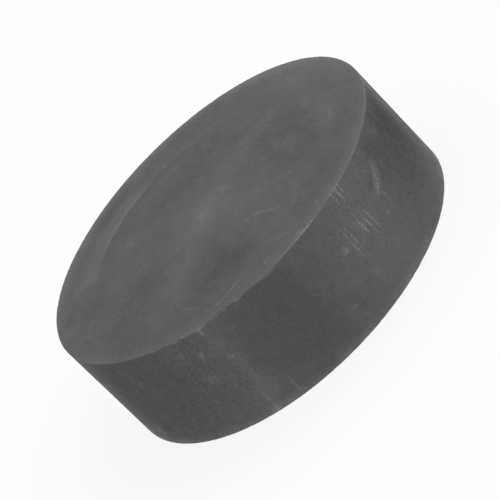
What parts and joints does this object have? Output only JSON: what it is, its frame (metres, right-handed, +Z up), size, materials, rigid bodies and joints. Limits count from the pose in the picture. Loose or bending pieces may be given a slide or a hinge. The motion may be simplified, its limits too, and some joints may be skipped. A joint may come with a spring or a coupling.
{
  "type": "round graphite block",
  "caption": "Short solid cylinder of machined graphite with worn edges, rim chips and handling marks; heat-proof block or blank for moulds, electrodes and setting plates.",
  "frame": {"origin": "centre of the lower face, on the surface that the block rests on", "axes": "+Z up along the axis of the disc; -Y is the side of the wall that the picture shows nearest"},
  "size_m": [0.08, 0.08, 0.025],
  "materials": {
    "graphite": "dull dark grey graphite, sanded face and turned wall, with a faint burnished sheen on the edges"
  },
  "bodies": {
    "root": {"graphite_block": "graphite"}
  },
  "joints": []
}
